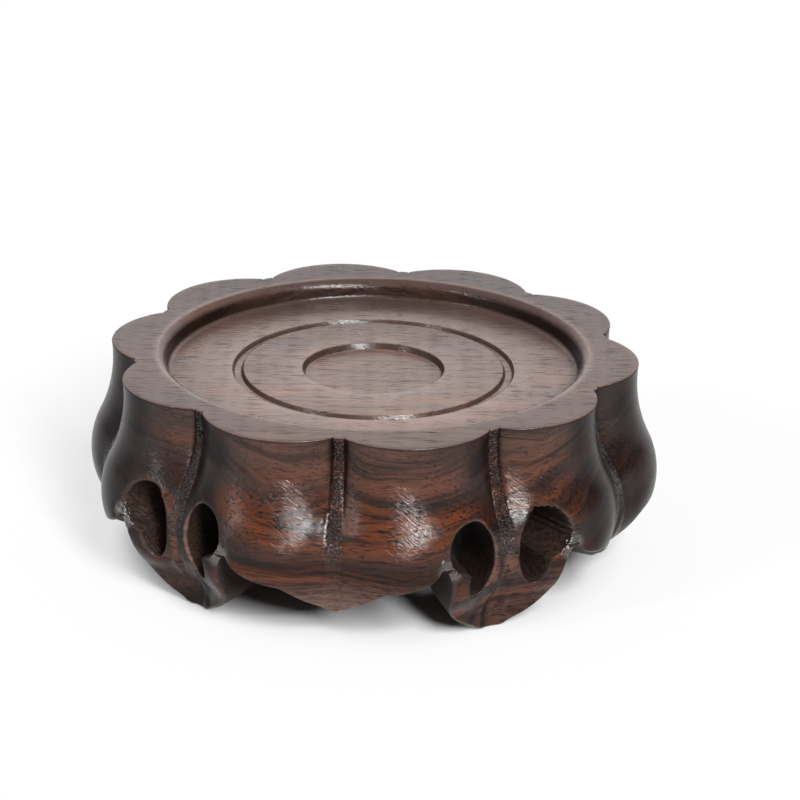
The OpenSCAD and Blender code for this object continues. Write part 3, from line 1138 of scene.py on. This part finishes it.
# %% [markdown]
# ## Colour of the wood
#
# Orange and brown zones come first, and then darker bands, lines and dashes over them. The waist is paler
# and greyer. The lower wall, the hanging points and the stems of the legs are paler too: that is painted
# light, the bounce from the white paper below. On top, the faces that look up are paler still, which paints
# in the sheen of light on the fibres there, and they turn darker towards the back, which is painted shade.
# One ramp over one noise would be shorter, but real rosewood has several patterns of different sizes on top
# of each other. In each line the factor says how strongly that pattern covers what came before it. Except
# where a line says that it paints light or shade, values are those of the wood itself, not of the light on
# it.

# %% Colour of the wall
WALL_DARK = (0.006, 0.0035, 0.003, 1)
WALL_BROWN = (0.032, 0.0105, 0.0062, 1)
WALL_ORANGE = (0.112, 0.0285, 0.009, 1)
WAIST_BROWN = (0.066, 0.038, 0.03, 1)
# Pale greyish brown for the lower wall and the stems: painted bounce light from the white paper.
LOW_BROWN = (0.22, 0.125, 0.095, 1)
END_DARK = (0.0045, 0.0028, 0.0026, 1)
END_BROWN = (0.017, 0.0075, 0.0055, 1)


def wall_colour(wood):
    """The colour of the bulging wall, nearly black where it shows end grain."""
    waist = wood.upright.between(24.0, 33.0)
    # Painted bounce light: the lower wall and the middle of the stems are paler and show the dark patterns
    # less, as if lit from the paper below.
    low = wood.upright.between(15.0, 6.0) * (1 - wood.leg * 0.8)
    bare_stem = wood.stem * wood.upright.between(6.0, 11.0) * wood.upright.between(20.5, 15.5)
    block_end = (wood.along * wood.along).between(900.0, 1700.0)
    colour = wood.zones.between(0.42, 0.58).mix(WALL_BROWN, WALL_ORANGE)
    colour = (waist * 0.7).mix(colour, WAIST_BROWN)
    # Painted bounce light from the paper on the lower wall and the stems.
    colour = (low * 0.8).most(bare_stem * 0.35).mix(colour, LOW_BROWN)
    colour = (wood.fibres.between(0.42, 0.22) * 0.4).mix(colour, WALL_ORANGE)
    colour = (wood.bands.between(0.46, 0.66) * (0.92 - low * 0.5 - waist * 0.3)).mix(colour, WALL_DARK)
    colour = (wood.lines.between(0.5, 0.68) * (0.65 - low * 0.3)).mix(colour, WALL_DARK)
    colour = (wood.dashes.between(0.49, 0.64) * (0.88 - waist * 0.45 - low * 0.35)).mix(colour, WALL_DARK)
    # Painted shade: a thin dark line along the top edge of the wall, under the rim's arris.
    colour = (wood.upright.between(35.0, 35.2) * 0.7).mix(colour, WALL_DARK)
    colour = (block_end * 0.75).mix(colour, WALL_DARK)
    end_colour = wood.rings.between(0.62, 0.4).mix(END_DARK, END_BROWN)
    return (wood.end * 0.96).mix(colour, end_colour)


print("orange of the wall:", WALL_ORANGE[:3])

# %% Colour of the top
# The top's colours are paler than the wall's: over the real grain they paint in the sheen of light on the
# fibres.
TOP_DARK = (0.12, 0.068, 0.056, 1)
TOP_BROWN = (0.25, 0.163, 0.139, 1)
TOP_ORANGE = (0.33, 0.2, 0.155, 1)
TOP_GREY = (0.2, 0.15, 0.145, 1)
# Dark brown for the back of the top, which is painted shade, and for the darker wood towards the rim.
TOP_BACK = (0.06, 0.034, 0.028, 1)
# Pale colour of the painted highlights along the dish's edges.
TOP_LIP = (0.4, 0.3, 0.26, 1)
# Darker brown for the walls of the dish's steps and its corner.
SOIL = (0.016, 0.0075, 0.0055, 1)


def top_colour(wood, colour):
    """The colour of the wall, and over it the paler colours of faces that look up, with painted sheen and
    shade, and darker walls of the dish's steps.
    """
    streaks = wood.grain.times(0.035, 1.5, 1.5).noise(4.0, 0.65)
    greys = wood.grain.times(0.025, 0.14, 0.14).noise(3.0, 0.6)
    to_back = wood.grain.dot((0, 1, 0)).between(-10.0, 44.0)
    to_rim = wood.grain.times(1, 1, 0).length().between(30.0, 41.0)
    flat = wood.zones.between(0.4, 0.62).mix(TOP_BROWN, TOP_ORANGE)
    flat = (wood.bands.between(0.48, 0.7) * 0.5).mix(flat, TOP_DARK)
    flat = (wood.lines.between(0.5, 0.72) * 0.4).mix(flat, TOP_DARK)
    flat = (streaks.between(0.5, 0.66) * 0.75).mix(flat, TOP_DARK)
    flat = (streaks.between(0.44, 0.3) * 0.5).mix(flat, TOP_ORANGE)
    flat = (wood.fibres.between(0.5, 0.75) * 0.4).mix(flat, TOP_DARK)
    flat = (greys.between(0.48, 0.62) * 0.6).mix(flat, TOP_GREY)
    # Painted shade at the back of the top, and a darker colour towards the rim.
    flat = (to_back * 0.9).mix(flat, TOP_BACK)
    flat = (to_rim * 0.62).mix(flat, TOP_BACK)
    # Painted highlight: pale lines along the dish's edges and the ring's bottom.
    flat = (wood.lip * 0.6).mix(flat, TOP_LIP)
    # Faces that look up take the top's paler colours, a painted sheen, and the walls of the dish's steps
    # and its corner are darker.
    return (wood.soil * 0.92).mix(wood.facing_up.mix(colour, flat), SOIL)


print("brown of the top:", TOP_BROWN[:3])

# %% Colour of pores, cuts and marks
PORE = WALL_DARK
# Colours of cut faces: the raw wood of a saw cut, darkened further as painted shade inside the openings.
INSIDE_DARK = (0.012, 0.0085, 0.007, 1)
INSIDE_BROWN = (0.045, 0.028, 0.022, 1)
# Pale colour of a painted highlight on rubbed edges.
RUBBED = (0.17, 0.135, 0.115, 1)
# Orange of a painted glint at each hanging point.
CHIPPED = (0.55, 0.24, 0.09, 1)


def marked_colour(wood, colour):
    """The colour with pores, cut faces with painted shade, edges with a painted highlight, knife lines and
    a painted orange glint at each hanging point laid over it.
    """
    inside_colour = wood.fibres.between(0.35, 0.65).mix(INSIDE_BROWN, INSIDE_DARK)
    colour = (wood.pores * 0.85).mix(colour, PORE)
    # Cut faces: dull raw wood, darkened as painted shade inside the openings.
    colour = (wood.cut * 0.92).mix(colour, inside_colour)
    # Painted highlight: a pale colour along rubbed edges.
    colour = (wood.rubbed * 0.2).mix(colour, RUBBED)
    colour = (wood.knife.most(wood.strip * 0.8) * 0.7).mix(colour, PORE)
    # Painted glint: an orange spot at each hanging point.
    return (wood.chip * 0.9).mix(colour, CHIPPED)


print("colour of a chip at a hanging point:", CHIPPED[:3])

# %% [markdown]
# ## Polish and relief
#
# The stand was waxed and rubbed: the bellies shine, end grain, pores and cuts stay dull, and fine slanting
# scratches of the scraper break up the glints. A roughness alone can't say this, because a dull face also
# mirrors less. So two shaders are mixed, a polished and a dull one, by how much the polish is worn off.

# %% Roughness, wear and bump
def roughness(wood):
    """Roughness of the polish, smoothest where varnish has run together."""
    rough = 0.2 + (wood.patches - 0.5) * 0.16 + wood.pores * 0.2 + wood.cut * 0.15 - wood.strip * 0.09
    return (rough * (1 - wood.glaze * 0.7)).clamp()


def worn_share(wire, wood, has_top):
    """0 where the wood is polished and 1 where it is dull."""
    slope = wire.node("ShaderNodeLayerWeight", {}, {"Blend": 0.5}, output="Facing")
    seen_flat = slope.between(0.9, 0.5)
    belly = wood.upright.between(14.0, 19.0)
    sheen_off = seen_flat * (0.8 - belly * 0.5)
    if has_top:
        sheen_off = (sheen_off * (1 - wood.facing_up)).most(wood.soil * 0.15)
    end_worn = wood.end * (0.42 + seen_flat * (0.48 - belly * 0.2))
    worn = end_worn.most(wood.pores * 0.9).most(wood.cut * 0.7).most(wood.knife * 0.8).most(sheen_off)
    return worn * (1 - (wood.strip * 0.85).most(wood.rubbed * 0.6).most(wood.glaze))


def relief(wire, wood, has_top):
    """A bumped normal from fibres, pores, scratches, chatter marks in the strip and lumps of varnish."""
    scratches = wood.grain.turned("Y", -35).times(0.25, 1.0, 4.5).noise(2.0, 0.7)
    chatter = wood.grain.times(2.0, 2.0, 2.4).noise(1.0, 0.5).between(0.4, 0.7)
    wobble = wood.grain.times(0.9, 0.9, 0.9).noise(1.0, 0.5)
    scratched = 0.06 if has_top else 0.105 - wood.end * 0.085
    height = wood.fibres * 0.02 - wood.pores * 0.05 + scratches * scratched
    height = height + wood.strip * chatter * 0.3 + wood.glaze * wobble * 0.6
    return wire.node("ShaderNodeBump", {}, {"Strength": 1.0, "Distance": MM, "Height": height})


print("a bump of 1 stands out by", MM, "m")

# %% The finished wood
IOR_TOP = 1.45
IOR_WALL = 1.6
VARNISH = {"Coat Roughness": 0.08}
DULL = {"Specular IOR Level": 0.05, "Roughness": 0.6}


def rosewood(name, has_top):
    """A material of polished and dull rosewood, mixed by wear."""
    material = bpy.data.materials.new(name)
    material.use_nodes = True
    tree = material.node_tree
    wire = Wire(tree)
    wood = patterns(wire, has_top)
    add_marks(wire, wood)
    colour = wall_colour(wood)
    if has_top:
        colour = top_colour(wood, colour)
    looks = {"Base Color": marked_colour(wood, colour), "Normal": relief(wire, wood, has_top)}
    shine = {"IOR": IOR_TOP if has_top else IOR_WALL, "Roughness": roughness(wood),
             "Coat Weight": wood.glaze * 0.9, **VARNISH}
    tree.nodes.remove(tree.nodes["Principled BSDF"])
    polished = wire.node("ShaderNodeBsdfPrincipled", {}, {**looks, **shine})
    dull = wire.node("ShaderNodeBsdfPrincipled", {}, {**looks, **DULL})
    worn = worn_share(wire, wood, has_top)
    both = wire.node("ShaderNodeMixShader", {}, {0: worn, 1: polished, 2: dull})
    tree.links.new(both.socket, tree.nodes["Material Output"].inputs["Surface"])
    return material


wood_top = rosewood("rosewood_satin_top", has_top=True)
wood_wall = rosewood("rosewood_polished_wall", has_top=False)
for node, piece in pieces.items():
    piece.data.materials.append(wood_top if node == "top_board" else wood_wall)
print("nodes in the wall's wood:", len(wood_wall.node_tree.nodes))

# %% [markdown]
# ## Camera
#
# The stand is seen from a little above, from about half a metre away. A camera could be placed by eye, but
# here a pinhole camera was fitted to the valleys of the rim and to the round dish, which gives its
# distance, its height, its small roll and the place of the rim's middle in the picture. The rim's middle
# isn't the picture's middle, so the camera is moved sideways until it falls on its pixel.

# %% Place the camera
PICTURE = 800
FOCAL_PX = 2795.6
DISTANCE = 0.4864
ELEVATION = math.radians(21.58)
ROLL = math.radians(-0.97)
RIM_MIDDLE_PX = (373.6, 348.3)
CAMERA_TURN = math.radians(GRAIN_TURN)
SENSOR = 36.0

back = Vector((0, -math.cos(ELEVATION), math.sin(ELEVATION)))
level_x = Vector((1, 0, 0))
level_y = Vector((0, math.sin(ELEVATION), math.cos(ELEVATION)))
picture_x = math.cos(ROLL) * level_x - math.sin(ROLL) * level_y
picture_y = math.sin(ROLL) * level_x + math.cos(ROLL) * level_y
aside_x = (RIM_MIDDLE_PX[0] - PICTURE / 2) / FOCAL_PX * DISTANCE
aside_y = (PICTURE / 2 - RIM_MIDDLE_PX[1]) / FOCAL_PX * DISTANCE
rim_middle = Vector((0, 0, STAND_H * MM))
pose = Matrix((picture_x, picture_y, back)).transposed().to_4x4()
pose.translation = rim_middle + DISTANCE * back - aside_x * picture_x - aside_y * picture_y

camera_data = bpy.data.cameras.new("photo_camera")
camera_data.sensor_width = SENSOR
camera_data.lens = FOCAL_PX / PICTURE * SENSOR
camera = bpy.data.objects.new("photo_camera", camera_data)
bpy.context.scene.collection.objects.link(camera)
camera.matrix_world = Matrix.Rotation(CAMERA_TURN, 4, "Z") @ pose
bpy.context.scene.camera = camera
camera_place = [round(v, 4) for v in camera.matrix_world.translation]
print("camera at", camera_place, "with a lens of", round(camera_data.lens, 1), "mm")

# %% [markdown]
# ## Lamps
#
# The light comes from a window and a lamp at the front right, with a weaker lamp at the left, and their
# glints sit on the petals. Area lamps near the stand would be usual, but they would light one side of the
# floor more than the other. Far lamps of a certain width give the same soft shadows on an even floor.

# %% Place the lamps
LAMP_DISTANCE = 0.5
bpy.context.scene.view_settings.view_transform = "Standard"


def way_to(azimuth, elevation):
    """Unit vector towards a place in the studio. The azimuth is counted from the camera to the right."""
    side = math.radians(azimuth) + CAMERA_TURN
    up = math.radians(elevation)
    return Vector((math.sin(side) * math.cos(up), -math.cos(side) * math.cos(up), math.sin(up)))


def far_lamp(name, azimuth, elevation, width, strength):
    """A sun, which lights all of the floor alike wherever it is put. Its width is in degrees."""
    lamp = bpy.data.lights.new(name, "SUN")
    lamp.angle = math.radians(width)
    lamp.energy = strength
    holder = bpy.data.objects.new(name, lamp)
    bpy.context.scene.collection.objects.link(holder)
    way = way_to(azimuth, elevation)
    holder.location = way * LAMP_DISTANCE
    holder.rotation_euler = way.to_track_quat("Z", "Y").to_euler()


far_lamp("window", azimuth=24, elevation=43, width=18, strength=2.15)
far_lamp("lamp_right", azimuth=24, elevation=30, width=11, strength=1.8)
far_lamp("lamp_left", azimuth=-56, elevation=31, width=8, strength=0.5)
print("lamps:", [lamp.name for lamp in bpy.data.lights])

# %% [markdown]
# ## Floor
#
# The stand lies on white paper that is nearly over-exposed, while the shadow under the stand stays dark.
# More light would whiten the paper but bleach the wood too. So, away from the stand, the paper is mixed
# with plain white for rays from the camera and for those that a glossy face mirrors or glass lets through.
# The light that the paper throws back on dull wood doesn't change.

# %% Paper
FLOOR_HALF = 3.0
SHADE_END = 0.038
WHITE_FROM = 0.047
WHITE_SHARE = 0.7
PAPER = {"Base Color": (0.96, 0.95, 0.955, 1), "Roughness": 0.95, "Specular IOR Level": 0.1}

floor_mesh = bpy.data.meshes.new("floor")
corners = [(x * FLOOR_HALF, y * FLOOR_HALF, 0) for x, y in ((-1, -1), (1, -1), (1, 1), (-1, 1))]
floor_mesh.from_pydata(corners, [], [(0, 1, 2, 3)])
floor = bpy.data.objects.new("floor", floor_mesh)
bpy.context.scene.collection.objects.link(floor)

paper_look = bpy.data.materials.new("white_paper")
paper_look.use_nodes = True
ground = Wire(paper_look.node_tree)
ground.tree.nodes.remove(ground.tree.nodes["Principled BSDF"])
paper = ground.node("ShaderNodeBsdfPrincipled", {}, PAPER)
white = ground.node("ShaderNodeEmission", {}, {"Color": (1, 1, 1, 1), "Strength": 1.0})
from_axis = ground.node("ShaderNodeTexCoord", output="Object").length()
shown = ground.ray("Camera").most(ground.ray("Glossy")).most(ground.ray("Transmission"))
over_exposed = from_axis.between(SHADE_END, WHITE_FROM) * WHITE_SHARE * shown
floor_look = ground.node("ShaderNodeMixShader", {}, {0: over_exposed, 1: paper, 2: white})
ground.tree.links.new(floor_look.socket, ground.tree.nodes["Material Output"].inputs["Surface"])
floor_mesh.materials.append(paper_look)
print("white is mixed into the paper from", SHADE_END, "m round the axis")

# %% [markdown]
# ## Room
#
# The room behind the camera was dark, so the front faces keep their colour, while the white behind the
# stand shows as a grey sheen on the top and along the outermost petals. The world repeats that: white for
# the picture and for what the wood mirrors from behind, a dim card at the left for the petals there, and a
# weak glow from overhead. A studio with walls could be modelled, but nobody sees more of it than this.

# %% World
ROOM_DIM = 0.05
OVERHEAD = 0.35
CARD = 0.4

world = bpy.data.worlds.new("studio")
world.use_nodes = True
bpy.context.scene.world = world
room = Wire(world.node_tree)
view = room.node("ShaderNodeTexCoord", output="Generated")
behind_stand = view.dot(way_to(0, 0)).between(-0.55, -0.9)
left_card = view.dot(way_to(-95, 10)).between(0.6, 0.95) * CARD
overhead = view.dot((0, 0, 1)).between(0.4, 0.9)
mirrored = room.ray("Glossy") * behind_stand.most(left_card)
seen_white = room.ray("Camera").most(room.ray("Transmission")).most(mirrored)
level = seen_white.most(overhead * OVERHEAD + ROOM_DIM)
backdrop = world.node_tree.nodes["Background"]
backdrop.inputs["Color"].default_value = (1, 1, 1, 1)
world.node_tree.links.new(level.socket, backdrop.inputs["Strength"])
print("nodes in the world:", len(world.node_tree.nodes))

# %% [markdown]
# ## Sizes
#
# The carved pieces must not be larger than the CAD model.
